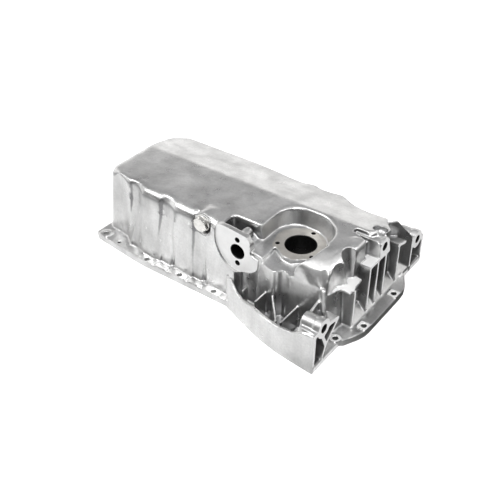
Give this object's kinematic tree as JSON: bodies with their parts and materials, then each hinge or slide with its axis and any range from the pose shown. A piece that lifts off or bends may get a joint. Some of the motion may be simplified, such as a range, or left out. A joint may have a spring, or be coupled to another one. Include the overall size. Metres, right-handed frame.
{
  "type": "engine oil pan",
  "caption": "Cast aluminium engine oil pan, bottom up: deep hollow sump with fluted walls, flanged rim, gearbox skirt with webs, sensor ring, return pad and drain plug.",
  "frame": {"origin": "centre of the bounding box on the plane of the block flange, z = 0, with the pan lying mouth down as in the picture", "axes": "+X along the crankshaft towards the gearbox face, +Y to the far side away from the return pad, +Z away from the engine block"},
  "size_m": [0.417, 0.275, 0.1105],
  "materials": {
    "cast_aluminium": "die cast skin, faces machined bright",
    "plated_steel": "zinc plated",
    "washer_aluminium": "plain soft aluminium"
  },
  "bodies": {
    "root": {"pan_casting": "cast_aluminium", "drain_plug": "plated_steel", "sealing_washer": "washer_aluminium"}
  },
  "joints": []
}
